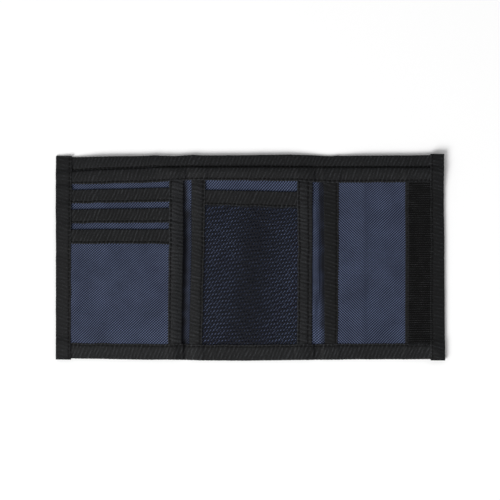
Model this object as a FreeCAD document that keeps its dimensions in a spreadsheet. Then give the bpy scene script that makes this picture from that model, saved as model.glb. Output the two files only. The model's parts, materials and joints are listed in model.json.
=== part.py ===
import FreeCAD, Part
import os

import Sketcher

# A trifold wallet of woven synthetic cloth, lying open with its inside up.
# +X runs across its three panels, from the card panel to the panel with the hook strip, +Y runs
# towards the open mouth of the bill compartment, and +Z points out of the inside.
# The origin is the middle of the outline, on the surface that the wallet lies on.
# Lengths are millimetres.
#
# An outer shell and an inner lining, sewn together at both ends and along the bottom, hold the
# bill compartment between them. Three panels are sewn on the lining. Narrow tapes are folded
# round every cut edge as bindings. The shell, the lining and the tapes along the top and the
# bottom run through both folds of the real wallet; here they are divided at the two fold axes.

DIMENSIONS = [
    # Outline
    ("open_length", 248.4, "whole length of the open wallet, along X"),
    ("open_width", 130.0, "bottom tape to mouth, along Y"),
    ("end_overhang", 0.6, "how far the end tapes pass the bottom and mouth tapes"),
    ("left_fold_x", -40.5, "fold between the card panel and the centre panel"),
    ("right_fold_x", 43.4, "fold between the centre panel and the right panel"),
    ("fold_gap", 0.3, "space between two bodies at a fold"),
    # Thickness of each material
    ("shell_cloth", 0.4, "outer shell"),
    ("lining_cloth", 0.3, "inner lining"),
    ("panel_cloth", 0.4, "backing panels"),
    ("slot_cloth", 0.35, "card slots and mesh"),
    ("binding", 0.4, "one layer of binding tape"),
    ("slack", 0.05, "space kept beside a tape that lies between two cloths"),
    ("bill_space", 0.6, "height of the empty bill compartment"),
    ("thread", 0.2, "height of a seam above its tape"),
    ("thread_width", 0.5, "width of a seam"),
    ("web_round", 0.3, "outer rounding of a folded tape"),
    # Visible width of each tape
    ("left_edge_tape", 9.3, "tape on the free edge of the left panel"),
    ("right_edge_tape", 8.4, "tape on the free edge of the right panel"),
    ("bottom_tape", 9.6, "tape along the bottom"),
    ("mouth_tape", 8.4, "tape on the shell's top edge"),
    ("lining_tape", 8.5, "tape on the lining's top edge"),
    ("lining_drop", 8.7, "how far the lining's top edge is below the shell's"),
    ("slot_tape", 8.9, "tape on a card slot"),
    ("mesh_tape", 9.9, "tape on the mesh pocket"),
    ("stitch_inset", 1.3, "seam to the inner edge of its tape"),
    # Panels and pockets
    ("card_panel_east", -43.1, "free edge of the card panel"),
    ("card_side_tape", 8.8, "tape on that edge"),
    ("centre_west", -37.8, "free edge of the centre panel"),
    ("centre_west_tape", 8.2, "tape on that edge"),
    ("centre_east", 39.8, "sewn edge of the centre panel"),
    ("centre_east_tape", 9.4, "tape on that edge"),
    ("pocket_west", 47.0, "free edge of the right pocket"),
    ("pocket_side_tape", 9.3, "tape on that edge"),
    ("front_slot_top", 18.4, "top edge of the front card slot"),
    ("slot_pitch", 12.65, "step from one card slot to the next"),
    ("slot_floor_drop", 52.5, "top edge of the front slot to the foot of the middle one's cloth"),
    ("mesh_top", 42.4, "top edge of the mesh pocket"),
    # Closure
    ("hook_west", 99.5, "inner edge of the hook strip"),
    ("hook_border", 2.2, "woven border beside the hooks"),
    ("hook_base", 0.4, "woven base of the hook strip"),
    ("hook_pile", 0.6, "height of the hooks"),
    ("loop_west", -68.6, "outer edge of the loop strip"),
    ("loop_width", 18.0, "width of the loop strip"),
    ("loop_border", 1.5, "woven border beside the loops"),
    ("loop_base", 0.2, "woven base of the loop strip"),
]

# Lengths that follow from the sheet, written with the names of cells and of earlier formulas
FORMULAS = [
    ("west", "-{open_length} / 2"),
    ("east", "{open_length} / 2"),
    ("south", "-{open_width} / 2"),
    ("north", "{open_width} / 2"),
    ("left_fold_w", "{left_fold_x} - {fold_gap} / 2"),
    ("left_fold_e", "{left_fold_x} + {fold_gap} / 2"),
    ("right_fold_w", "{right_fold_x} - {fold_gap} / 2"),
    ("right_fold_e", "{right_fold_x} + {fold_gap} / 2"),
    ("cloth_west", "{west} + {binding}"),
    ("cloth_east", "{east} - {binding}"),
    ("cloth_south", "{south} + {binding}"),
    ("inner_west", "{west} + {left_edge_tape}"),
    ("inner_east", "{east} - {right_edge_tape}"),
    ("inner_south", "{south} + {bottom_tape}"),
    ("lining_north", "{north} - {lining_drop}"),
    ("inner_north", "{lining_north} - {lining_tape}"),
    ("panel_north", "{lining_north} - {binding}"),
    # Levels, from the surface under the wallet upwards
    ("shell_low", "{binding}"),
    ("shell_top", "{shell_low} + {shell_cloth}"),
    ("lining_low", "{shell_top} + {bill_space}"),
    ("lining_top", "{lining_low} + {lining_cloth}"),
    ("panel_low", "{lining_top} + {binding} + {slack}"),
    ("panel_top", "{panel_low} + {panel_cloth}"),
    ("pocket_pitch", "{slot_cloth} + {binding} + {slack}"),
    ("mesh_low", "{panel_top} + {binding} + {slack}"),
    ("mesh_high", "{mesh_low} + {slot_cloth}"),
    ("rear_low", "{mesh_low}"),
    ("middle_low", "{rear_low} + {pocket_pitch}"),
    ("front_low", "{middle_low} + {pocket_pitch}"),
    ("cards_top", "{front_low} + {slot_cloth}"),
    ("hook_low", "{panel_top}"),
    ("hook_base_top", "{hook_low} + {hook_base}"),
    # Card slots
    ("front_top", "{front_slot_top}"),
    ("middle_top", "{front_top} + {slot_pitch}"),
    ("rear_top", "{middle_top} + {slot_pitch}"),
    ("middle_foot", "{front_slot_top} - {slot_floor_drop} - {slot_pitch}"),
    ("rear_foot", "{middle_foot} + {slot_pitch}"),
    ("cards_east", "{card_panel_east} - {card_side_tape}"),
    # Inner edges of the tapes on the centre and right panels
    ("mesh_west", "{centre_west} + {centre_west_tape}"),
    ("mesh_east", "{centre_east} - {centre_east_tape}"),
    ("pocket_inner", "{pocket_west} + {pocket_side_tape}"),
    ("loop_east", "{loop_west} + {loop_width}"),
]

SHEET_NAME = "Dimensions"
TURN_OF_WEB = {"west": 0, "south": 90, "east": 180, "north": -90}

doc = FreeCAD.newDocument("trifold_wallet")
names = {}
subparts = []


def make_sheet():
    """Fill the spreadsheet, and give every cell and formula a name for expressions."""
    sheet = doc.addObject("Spreadsheet::Sheet", SHEET_NAME)
    for row, (alias, value, note) in enumerate(DIMENSIONS, start=1):
        sheet.set(f"A{row}", alias)
        sheet.set(f"B{row}", str(value))
        sheet.setAlias(f"B{row}", alias)
        sheet.set(f"C{row}", note)
        names[alias] = f"{SHEET_NAME}.{alias}"
    doc.recompute()
    for name, formula in FORMULAS:
        names[name] = f"({formula.format(**names)})"


def bind(thing, path, formula):
    """Drive one property or constraint by a formula of the sheet's cells."""
    thing.setExpression(path, formula.format(**names))


def place(thing, x, y, z, turn=0):
    """Put an object at a driven point, turned about Z by a fixed angle."""
    thing.Placement = FreeCAD.Placement(
        FreeCAD.Vector(), FreeCAD.Rotation(FreeCAD.Vector(0, 0, 1), turn)
    )
    bind(thing, "Placement.Base.x", x)
    bind(thing, "Placement.Base.y", y)
    bind(thing, "Placement.Base.z", z)


def new_body(label):
    """An empty body that becomes one sub-part."""
    body = doc.addObject("PartDesign::Body", label)
    body.Label = label
    subparts.append(body)
    return body


def origin_plane(body, role):
    """One of the body's own origin planes."""
    return next(f for f in body.Origin.OriginFeatures if f.Role == role)


def square_outline(body, name, plane, corners, sizes, start=None):
    """A sketch of a closed outline whose sides run along the axes.

    corners gives rough places for the corners, and sizes gives a formula for each side that
    sets the outline's size, by the side's number. start places the first corner, if it isn't
    the plane's origin.
    """
    sketch = body.newObject("Sketcher::SketchObject", name)
    sketch.AttachmentSupport = [(origin_plane(body, plane), "")]
    sketch.MapMode = "FlatFace"
    points = [FreeCAD.Vector(x, y, 0) for x, y in corners]
    count = len(points)
    for i in range(count):
        sketch.addGeometry(Part.LineSegment(points[i], points[(i + 1) % count]))
    for i in range(count):
        sketch.addConstraint(Sketcher.Constraint("Coincident", i, 2, (i + 1) % count, 1))
        level = "Horizontal" if points[i].y == points[(i + 1) % count].y else "Vertical"
        sketch.addConstraint(Sketcher.Constraint(level, i))
    if start is None:
        sketch.addConstraint(Sketcher.Constraint("Coincident", 0, 1, -1, 1))
    else:
        for kind, formula in zip(("DistanceX", "DistanceY"), start):
            number = sketch.addConstraint(Sketcher.Constraint(kind, -1, 1, 0, 1, 1.0))
            bind(sketch, f"Constraints[{number}]", formula)
    for side, formula in sizes.items():
        a, b = points[side], points[(side + 1) % count]
        kind = "DistanceX" if a.y == b.y else "DistanceY"
        ends = (side, 1, side, 2) if (b - a).x + (b - a).y > 0 else (side, 2, side, 1)
        number = sketch.addConstraint(Sketcher.Constraint(kind, *ends, (b - a).Length))
        bind(sketch, f"Constraints[{number}]", formula)
    return sketch


def rectangle(body, name, width, height, start=None):
    """A rectangular outline on the body's XY plane."""
    corners = [(0, 0), (10, 0), (10, 10), (0, 10)]
    if start is not None:
        corners = [(x + 1, y + 1) for x, y in corners]
    return square_outline(body, name, "XY_Plane", corners, {0: width, 1: height}, start)


def pad(body, name, sketch, length, reverse=False):
    """Pad a sketch by a driven length."""
    feature = body.newObject("PartDesign::Pad", name)
    feature.Profile = sketch
    feature.Reversed = reverse
    bind(feature, "Length", length)
    return feature


def cloth(label, west, east, south, north, low, thickness):
    """A flat piece of cloth."""
    body = new_body(label)
    outline = rectangle(body, f"{label}_outline", f"({east}) - ({west})", f"({north}) - ({south})")
    pad(body, f"{label}_cloth", outline, thickness)
    place(body, west, south, low)
    return body


def bound_edge(label, web, west, east, south, north, low, grip):
    """A tape folded round a cut edge: two layers and the web between them.

    web names the side of the tape's area where its fold is. low is the underside of its lower
    layer, and grip is the height between the two layers.
    """
    across = f"({east}) - ({west})"
    along = f"({north}) - ({south})"
    if web in ("south", "north"):
        across, along = along, across
    body = new_body(label)
    corners = [(0, 0), (9, 0), (9, 1), (1, 1), (1, 3), (9, 3), (9, 4), (0, 4)]
    sizes = {
        0: across,
        1: "{binding}",
        2: f"{across} - {{binding}}",
        3: grip,
        4: f"{across} - {{binding}}",
        5: "{binding}",
    }
    outline = square_outline(body, f"{label}_section", "XZ_Plane", corners, sizes)
    fold = pad(body, f"{label}_fold", outline, along, reverse=True)
    doc.recompute()
    soft = body.newObject("PartDesign::Fillet", f"{label}_round")
    soft.Base = (fold, web_edges(fold.Shape))
    bind(soft, "Radius", "{web_round}")
    corner = {
        "west": (west, south),
        "south": (east, south),
        "east": (east, north),
        "north": (west, north),
    }[web]
    place(body, *corner, low, TURN_OF_WEB[web])
    return body


def web_edges(shape):
    """The two long outer edges of a folded tape, where its web meets its layers."""
    found = []
    for number, edge in enumerate(shape.Edges, start=1):
        box = edge.BoundBox
        if box.XMax < 1e-6 and box.ZLength < 1e-6 and box.YLength > 1e-6:
            found.append(f"Edge{number}")
    return found


def bar(label, west, east, south, north, low, high):
    """A plain bar with driven sides."""
    box = doc.addObject("Part::Box", label)
    box.Label = label
    bind(box, "Length", f"({east}) - ({west})")
    bind(box, "Width", f"({north}) - ({south})")
    bind(box, "Height", f"({high}) - ({low})")
    place(box, west, south, low)
    return box


def seam_across(label, west, east, y, low):
    """A row of stitches along X, at y, on a tape whose top is at low."""
    half = "{thread_width} / 2"
    box = bar(label, west, east, f"{y} - {half}", f"{y} + {half}", low, f"{low} + {{thread}}")
    subparts.append(box)


def seam_up(label, x, south, north, low):
    """A row of stitches along Y, at x, on a tape whose top is at low."""
    half = "{thread_width} / 2"
    box = bar(label, f"{x} - {half}", f"{x} + {half}", south, north, low, f"{low} + {{thread}}")
    subparts.append(box)


def make_long_pieces():
    """Shell, lining and the tapes of the bottom and both top edges, one set to each panel."""
    panels = {
        "left": ("{cloth_west}", "{inner_west}", "{left_fold_w}", "{left_fold_w}", "{cards_top}"),
        "centre": (
            "{left_fold_e}", "{left_fold_e}", "{right_fold_w}", "{right_fold_w}", "{mesh_high}"
        ),
        "right": (
            "{right_fold_e}", "{right_fold_e}", "{inner_east}", "{cloth_east}", "{panel_top}"
        ),
    }
    for side, (cloth_w, tape_w, tape_e, cloth_e, stack_top) in panels.items():
        cloth(
            f"outer_shell_{side}", cloth_w, cloth_e, "{cloth_south}", "{north} - {binding}",
            "{shell_low}", "{shell_cloth}",
        )
        cloth(
            f"inner_lining_{side}", cloth_w, cloth_e, "{cloth_south}", "{panel_north}",
            "{lining_low}", "{lining_cloth}",
        )
        bound_edge(
            f"bottom_tape_{side}", "south", tape_w, tape_e, "{south}", "{inner_south}",
            "0", f"{stack_top} - {{binding}}",
        )
        bound_edge(
            f"mouth_tape_{side}", "north", tape_w, tape_e, "{north} - {mouth_tape}", "{north}",
            "0", "{shell_cloth}",
        )
        bound_edge(
            f"lining_tape_{side}", "north", tape_w, tape_e, "{inner_north}", "{lining_north}",
            "{lining_low} - {binding}", "{panel_top} - {lining_low}",
        )
        seam_across(
            f"bottom_thread_{side}", tape_w, tape_e, "({inner_south} - {stitch_inset})",
            f"({stack_top} + {{binding}})",
        )
        seam_across(
            f"mouth_thread_{side}", tape_w, tape_e, "({north} - {mouth_tape} + {stitch_inset})",
            "({shell_top} + {binding})",
        )
        seam_across(
            f"lining_thread_{side}", tape_w, tape_e, "({inner_north} + {stitch_inset})",
            "({panel_top} + {binding})",
        )


def make_end_tapes():
    """The tapes on the wallet's two free ends, which close over everything else."""
    ends = {
        "left": ("west", "{west}", "{inner_west}", "{cards_top}", "({inner_west} - {stitch_inset})"),
        "right": (
            "east", "{inner_east}", "{east}", "{hook_base_top}", "({inner_east} + {stitch_inset})"
        ),
    }
    for side, (web, west, east, stack_top, seam_x) in ends.items():
        bound_edge(
            f"{side}_edge_tape", web, west, east, "{south} - {end_overhang}",
            "{north} + {end_overhang}", "0", f"{stack_top} - {{binding}}",
        )
        seam_up(f"{side}_edge_thread", seam_x, "{south}", "{north}", f"({stack_top} + {{binding}})")


def make_card_panel():
    """The left panel: a slip pocket open towards the fold, with three card slots on it."""
    cloth(
        "card_backing_panel", "{cloth_west}", "{card_panel_east} - {binding}", "{cloth_south}",
        "{panel_north}", "{panel_low}", "{panel_cloth}",
    )
    feet = {"rear": "{rear_foot}", "middle": "{middle_foot}", "front": "{cloth_south}"}
    for slot, foot in feet.items():
        low = f"{{{slot}_low}}"
        top = f"{{{slot}_top}}"
        cloth(
            f"card_slot_{slot}", "{cloth_west}", "{card_panel_east} - {binding}", foot,
            f"{top} - {{binding}}", low, "{slot_cloth}",
        )
        bound_edge(
            f"card_slot_{slot}_tape", "north", "{inner_west}", "{cards_east}",
            f"{top} - {{slot_tape}}", top, f"{low} - {{binding}}", "{slot_cloth}",
        )
        seam_across(
            f"card_slot_{slot}_thread", "{inner_west}", "{cards_east}",
            f"({top} - {{slot_tape}} + {{stitch_inset}})", f"({low} + {{slot_cloth}} + {{binding}})",
        )
    bound_edge(
        "card_panel_side_tape", "east", "{cards_east}", "{card_panel_east}", "{inner_south}",
        "{inner_north}", "{panel_low} - {binding}", "{cards_top} - {panel_low}",
    )
    seam_up(
        "card_panel_side_thread", "({cards_east} + {stitch_inset})", "{inner_south}",
        "{inner_north}", "({cards_top} + {binding})",
    )


def make_centre_panel():
    """The centre panel: a slip pocket open towards the left fold, with the mesh pocket on it."""
    cloth(
        "centre_backing_panel", "{centre_west} + {binding}", "{centre_east} - {binding}",
        "{cloth_south}", "{panel_north}", "{panel_low}", "{panel_cloth}",
    )
    cloth(
        "mesh_pocket_net", "{centre_west} + {binding}", "{centre_east} - {binding}",
        "{cloth_south}", "{mesh_top} - {binding}", "{mesh_low}", "{slot_cloth}",
    )
    bound_edge(
        "mesh_pocket_tape", "north", "{mesh_west}", "{mesh_east}", "{mesh_top} - {mesh_tape}",
        "{mesh_top}", "{mesh_low} - {binding}", "{slot_cloth}",
    )
    seam_across(
        "mesh_pocket_thread", "{mesh_west}", "{mesh_east}",
        "({mesh_top} - {mesh_tape} + {stitch_inset})", "({mesh_high} + {binding})",
    )
    sides = {
        "left": ("west", "{centre_west}", "{mesh_west}"),
        "right": ("east", "{mesh_east}", "{centre_east}"),
    }
    for side, (web, west, east) in sides.items():
        bound_edge(
            f"centre_{side}_tape", web, west, east, "{inner_south}", "{inner_north}",
            "{panel_low} - {binding}", "{mesh_high} - {panel_low}",
        )
    tape_top = "({mesh_high} + {binding})"
    seam_up(
        "centre_left_thread", "({mesh_west} - {stitch_inset})", "{inner_south}", "{inner_north}",
        tape_top,
    )
    # The right tape is sewn down along both of its edges.
    half = "{thread_width} / 2"
    rows = doc.addObject("Part::Compound", "centre_right_thread")
    rows.Label = "centre_right_thread"
    row_places = {"inner": "{mesh_east} + {stitch_inset}", "outer": "{centre_east} - 2 * {stitch_inset}"}
    rows.Links = [
        bar(
            f"centre_right_row_{row}", f"{x} - {half}", f"{x} + {half}", "{inner_south}",
            "{inner_north}", tape_top, f"{tape_top} + {{thread}}",
        )
        for row, x in row_places.items()
    ]
    subparts.append(rows)


def make_right_pocket():
    """The right panel: a slip pocket open towards the fold."""
    cloth(
        "right_pocket_panel", "{pocket_west} + {binding}", "{cloth_east}", "{cloth_south}",
        "{panel_north}", "{panel_low}", "{panel_cloth}",
    )
    bound_edge(
        "right_pocket_side_tape", "west", "{pocket_west}", "{pocket_inner}", "{inner_south}",
        "{inner_north}", "{panel_low} - {binding}", "{panel_cloth}",
    )
    seam_up(
        "right_pocket_side_thread", "({pocket_inner} - {stitch_inset})", "{inner_south}",
        "{inner_north}", "({panel_top} + {binding})",
    )


def strip_with_pile(label, size, base, pile, field_corner, field_size):
    """A closure strip: a woven base with a narrower field of hooks or loops on its lower side."""
    body = new_body(label)
    outline = rectangle(body, f"{label}_base_outline", *size)
    pad(body, f"{label}_base", outline, base)
    field = rectangle(body, f"{label}_field_outline", *field_size, start=field_corner)
    pad(body, f"{label}_pile", field, pile, reverse=True)
    return body


def make_closure():
    """The hook strip inside the right panel, and the loop strip outside the left one."""
    tall = "{inner_north} - {inner_south}"
    hook = strip_with_pile(
        "hook_strip", ("{cloth_east} - {hook_west}", tall), "{hook_base}", "{hook_pile}",
        ("{cloth_east} - {inner_east} + {slack}", "{slack}"),
        ("{inner_east} - {hook_west} - {hook_border} - {slack}", f"{tall} - 2 * {{slack}}"),
    )
    # Turned over about Y, so that the hooks point up and the base lies on the pocket panel.
    hook.Placement = FreeCAD.Placement(
        FreeCAD.Vector(), FreeCAD.Rotation(FreeCAD.Vector(0, 1, 0), 180)
    )
    bind(hook, "Placement.Base.x", "{cloth_east}")
    bind(hook, "Placement.Base.y", "{inner_south}")
    bind(hook, "Placement.Base.z", "{hook_base_top}")
    seam_up(
        "hook_strip_thread", "({hook_west} + {hook_border} / 2)", "{inner_south}",
        "{inner_north}", "({hook_base_top})",
    )
    loop = strip_with_pile(
        "loop_strip", ("{loop_width}", tall), "{loop_base}", "{binding} - {loop_base}",
        ("{loop_border}", "{loop_border}"),
        ("{loop_width} - 2 * {loop_border}", f"{tall} - 2 * {{loop_border}}"),
    )
    place(loop, "{loop_west}", "{inner_south}", "{binding} - {loop_base}")
    # The seam round the loop strip shows on the shell's inner face, in the bill compartment.
    level = ("{shell_top}", "{shell_top} + {thread}")
    outside = bar(
        "loop_seam_outside", "{loop_west}", "{loop_east}", "{inner_south}", "{inner_north}", *level
    )
    inside = bar(
        "loop_seam_inside", "{loop_west} + {thread_width}", "{loop_east} - {thread_width}",
        "{inner_south} + {thread_width}", "{inner_north} - {thread_width}", *level,
    )
    seam = doc.addObject("Part::Cut", "loop_strip_thread")
    seam.Label = "loop_strip_thread"
    seam.Base = outside
    seam.Tool = inside
    subparts.append(seam)


def write_steps():
    """Recompute, stop at anything that failed, and write each sub-part to its own file."""
    doc.recompute()
    for thing in doc.Objects:
        if "Invalid" in thing.State or "Error" in thing.State:
            raise RuntimeError(f"{thing.Label} failed: {thing.State}")
    for part in subparts:
        if part.Shape.isNull() or not part.Shape.isValid():
            raise RuntimeError(f"{part.Label} has no valid shape")
        if part.Shape.Volume <= 0:
            raise RuntimeError(f"{part.Label} has no volume")
    os.makedirs("parts", exist_ok=True)
    for part in subparts:
        part.Shape.exportStep(f"parts/{part.Label}.step")
    print(len(subparts), "parts written")


make_sheet()
make_long_pieces()
make_end_tapes()
make_card_panel()
make_centre_panel()
make_right_pocket()
make_closure()
write_steps()
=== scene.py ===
import json
import math

import bpy
import numpy as np
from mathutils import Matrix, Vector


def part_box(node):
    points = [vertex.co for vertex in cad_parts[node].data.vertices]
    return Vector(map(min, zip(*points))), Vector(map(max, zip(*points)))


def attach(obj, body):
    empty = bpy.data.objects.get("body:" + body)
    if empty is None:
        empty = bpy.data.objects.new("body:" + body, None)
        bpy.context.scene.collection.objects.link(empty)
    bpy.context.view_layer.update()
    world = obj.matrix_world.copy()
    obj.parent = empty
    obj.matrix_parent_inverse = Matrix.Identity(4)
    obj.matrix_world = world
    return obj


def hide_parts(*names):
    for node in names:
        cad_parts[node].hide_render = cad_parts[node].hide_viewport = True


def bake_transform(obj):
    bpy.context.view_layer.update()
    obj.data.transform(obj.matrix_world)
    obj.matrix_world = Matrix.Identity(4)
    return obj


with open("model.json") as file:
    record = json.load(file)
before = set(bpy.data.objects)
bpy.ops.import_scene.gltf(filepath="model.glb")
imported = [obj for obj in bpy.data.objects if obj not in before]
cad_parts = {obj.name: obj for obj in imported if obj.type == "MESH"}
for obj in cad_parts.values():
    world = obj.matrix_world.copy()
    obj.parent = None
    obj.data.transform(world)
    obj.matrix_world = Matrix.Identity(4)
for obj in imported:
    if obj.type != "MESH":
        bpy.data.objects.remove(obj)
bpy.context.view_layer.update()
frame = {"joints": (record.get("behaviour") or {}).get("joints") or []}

# A trifold wallet, lying open with its inside up. Lengths are millimetres in the frame's axes,
# until a mesh is made. Every piece is first laid out flat, in the neat stack that the CAD nodes
# give, and settle() then moves each of its points to where the soft cloth really lies. All
# pieces share that one movement, so layers that are clear of each other stay clear.

MM = 0.001
TURN = 2 * math.pi


def low(node):
    """Lowest corner of a CAD node, in mm."""
    return np.array(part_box(node)[0]) / MM


def high(node):
    """Highest corner of a CAD node, in mm."""
    return np.array(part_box(node)[1]) / MM


# Outline, and the inner edges of the outer tapes
WEST, INNER_WEST = low("left_edge_tape")[0], high("left_edge_tape")[0]
INNER_EAST, EAST = low("right_edge_tape")[0], high("right_edge_tape")[0]
SOUTH, INNER_SOUTH = low("bottom_tape_centre")[1], high("bottom_tape_centre")[1]
MOUTH_SOUTH, NORTH = low("mouth_tape_centre")[1], high("mouth_tape_centre")[1]
INNER_NORTH, LINING_NORTH = low("lining_tape_centre")[1], high("lining_tape_centre")[1]
END_SOUTH, END_NORTH = low("left_edge_tape")[1], high("left_edge_tape")[1]

# Levels of the stack
SHELL_LOW, SHELL_TOP = low("outer_shell_left")[2], high("outer_shell_left")[2]
LINING_LOW, LINING_TOP = low("inner_lining_left")[2], high("inner_lining_left")[2]
PANEL_LOW, PANEL_TOP = low("card_backing_panel")[2], high("card_backing_panel")[2]
MESH_LOW, MESH_TOP = low("mesh_pocket_net")[2], high("mesh_pocket_net")[2]
SLOTS = ("rear", "middle", "front")
SLOT_LOW = {slot: low(f"card_slot_{slot}")[2] for slot in SLOTS}
SLOT_TOP = {slot: high(f"card_slot_{slot}")[2] for slot in SLOTS}
CARDS_TOP = SLOT_TOP["front"]
HOOK_BASE_TOP = low("hook_strip_thread")[2]
TAPE = PANEL_LOW - low("card_panel_side_tape")[2]

# Panels
CARD_EAST, CARD_INNER = high("card_panel_side_tape")[0], low("card_panel_side_tape")[0]
CENTRE_WEST, MESH_WEST = low("centre_left_tape")[0], high("centre_left_tape")[0]
MESH_EAST, CENTRE_EAST = low("centre_right_tape")[0], high("centre_right_tape")[0]
POCKET_WEST, POCKET_INNER = low("right_pocket_side_tape")[0], high("right_pocket_side_tape")[0]
HOOK_WEST = low("hook_strip")[0]
SPLIT = (CENTRE_WEST + CENTRE_EAST) / 2

FOLDS = {joint["name"]: joint["pos_m"][0] / MM for joint in frame["joints"]}
LEFT_FOLD, RIGHT_FOLD = FOLDS["left_fold"], FOLDS["right_fold"]
BEND_MARGIN = 0.4
# Each fold's two bodies and the stretch across it, where the cloth is meshed finer.
BENDS = {
    "west": ("centre_panel", "left_panel", CENTRE_WEST + BEND_MARGIN, CARD_EAST - BEND_MARGIN),
    "east": ("right_panel", "centre_panel", POCKET_WEST + BEND_MARGIN, CENTRE_EAST - BEND_MARGIN),
}
CLOTH_STEP, FINE_STEP = 1.4, 0.45


# ---------------------------------------------------------------- shapes of curves and surfaces


def smooth(value):
    """0 below 0, 1 above 1, and a smooth step between."""
    t = np.clip(value, 0, 1)
    return t * t * (3 - 2 * t)


def past(value, start, length):
    """0 before start, 1 from length after it on, and a smooth step between."""
    return smooth((value - start) / length)


def bump(value, middle, width):
    """A rounded rise of height 1."""
    return np.exp(-(((value - middle) / width) ** 2))


def ripple(x, y, length, seed, count=7):
    """Smooth unevenness, mostly between -1 and 1, with waves about length long."""
    draws = np.random.default_rng(seed)
    total = 0.0
    for _ in range(count):
        angle, phase = draws.uniform(0, TURN, 2)
        rate = TURN / length * draws.uniform(0.6, 1.5)
        total = total + np.sin(rate * (x * math.cos(angle) + y * math.sin(angle)) + phase)
    return total * 1.4 / count**0.5 / 1.6


def above(z, lower, upper):
    """0 for what lies under a gap in the stack, and 1 for what lies over it."""
    return smooth((z - lower) / (upper - lower))


def arch(value, start, end):
    """A flat-topped rise from start to end."""
    return np.clip(np.sin(math.pi * np.clip((value - start) / (end - start), 0, 1)), 0, 1) ** 0.6


# ---------------------------------------------------------------- how the cloth really lies

# Thinner than the neat stack: everywhere, at the outer edge, along the side tapes, at both
# top edges
SQUEEZE = 0.93
EDGE_PINCH, EDGE_WIDTH = 0.34, 6.5
SIDE_PINCH, SIDE_WIDTH = 0.34, 3.0
BROW_PINCH, MOUTH_PINCH, BROW_WIDTH = 0.25, 0.2, 2.2
# Thicker, or standing up: the corners, the curl at the mouth and at the right end, the bill
# compartment's mouth, and the lips of the three slip pockets
CORNER_LAP, LAP_BLUR, LAP_REACH = 0.42, 0.8, 5.0
MOUTH_CURL, END_CURL = 1.9, 0.7
BELLY, MID_BELLY, MOUTH_GAP = 0.25, 0.4, 0.35
CARD_LIP, CENTRE_LIP, POCKET_LIP, LIP_WIDTH = 0.8, 0.3, 0.75, 8
# Where the card panel's free edge comes to lie when both panels are folded
PRESSING, PRESSED_EAST, PRESSED_WIDTH = 0.65, 5, 16

# How far each place lies from where a neat pattern would put it, in mm: along Y, with a row
# for each of UPRIGHT_Y and a column for each of UPRIGHT_X, and along X in the same way
UPRIGHT_X = (-115, -90, -62, -52, -40, -30, 0, 25, 41, 52, 60, 115)
UPRIGHT_Y = (-60, -30, 8, 20, 33, 43, 48, 56.5, 65)
UPRIGHT = (
    (0.2, -0.3, -0.7, -0.65, -0.95, -1.2, -1.35, -1.0, -0.85, -0.7, -0.65, -0.35),
    (0.0, 0.0, 0.0, 0.0, 0.0, 0.0, 0.0, 0.0, 0.0, 0.0, 0.0, 0.0),
    (-1.05, -1.0, -1.3, -1.4, 0.0, 0.0, 0.0, 0.0, 0.0, 0.0, 0.0, 0.0),
    (-0.7, -0.6, -0.5, -0.5, 0.0, 0.2, 0.0, -0.3, 0.0, 0.0, 0.0, 0.0),
    (-0.7, -0.2, 0.2, 0.4, 0.3, 0.8, -0.2, -1.1, -0.8, 0.0, 0.0, 0.0),
    (-0.7, -0.3, 0.5, 0.6, 0.7, 0.5, 0.0, -0.6, -0.5, -0.1, -0.2, 0.0),
    (-1.5, -1.1, -0.2, 0.4, 1.0, 1.25, 1.0, 0.6, 0.1, -0.3, -0.4, -0.1),
    (-1.5, -0.5, 0.65, 0.75, 0.7, 0.7, 0.7, 0.65, 0.6, 0.6, 0.6, 0.6),
    (-1.0, -0.6, -0.2, -0.2, 0.0, 0.0, 0.2, 0.6, 0.1, -0.4, -0.2, 0.2),
)
SIDEWAYS_X = (-124, -115, -52, -43, -38, -30, 0, 30, 40, 47, 56, 100, 116, 124)
SIDEWAYS_Y = (-60, 0, 46)
SIDEWAYS = (
    (0.2, 0.6, -0.3, -0.5, -1.2, -1.0, 0.0, -0.3, -0.1, 0.6, -0.2, -0.4, -0.5, 0.5),
    (0.1, 0.6, 0.0, 0.4, 0.2, 0.2, 0.0, 0.0, 0.0, 0.3, 0.1, -0.4, -0.5, 0.0),
    (0.0, 1.1, 0.5, 0.8, 0.4, 1.3, 0.0, -0.2, 0.3, 0.0, 0.4, -0.4, -0.6, -0.3),
)
MOUTH_KINKS = ((-62, 0.35, 3), (-48, -0.3, 3), (-37, 0.3, 3), (55, 0.35, 2.5))


def corner_lap(x, y):
    """At the four corners the end tapes lie over the long tapes, so all between is lifted."""
    sideways = smooth((INNER_WEST - x) / LAP_BLUR / 2 + 0.5)
    sideways = sideways + smooth((x - INNER_EAST) / LAP_BLUR / 2 + 0.5)
    upright = smooth((INNER_SOUTH - y) / LAP_REACH + 1)
    upright = upright + smooth((y - MOUTH_SOUTH) / LAP_REACH + 1)
    return CORNER_LAP * sideways * upright


def from_table(x, y, columns, rows, table):
    """A value between the places of a small table."""
    each = np.stack([np.interp(x, columns, row) for row in table])
    place = np.interp(y, rows, np.arange(len(rows)))
    lower = np.minimum(place.astype(int), len(rows) - 2)
    share = place - lower
    pick = lambda index: np.take_along_axis(each, index[None], axis=0)[0]
    return pick(lower) * (1 - share) + pick(lower + 1) * share


def pressed(x):
    """1, and less where the stack is pressed flatter beside the right fold."""
    return 1 - PRESSING * bump(x, RIGHT_FOLD + PRESSED_EAST, PRESSED_WIDTH)


def curl(x, y):
    """How far the whole stack stands up towards the mouth and towards its right end."""
    mouth = MOUTH_CURL * past(y, 38, 26) * past(x, WEST, 30) * pressed(x)
    return mouth + END_CURL * past(x, 105, 18)


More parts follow.
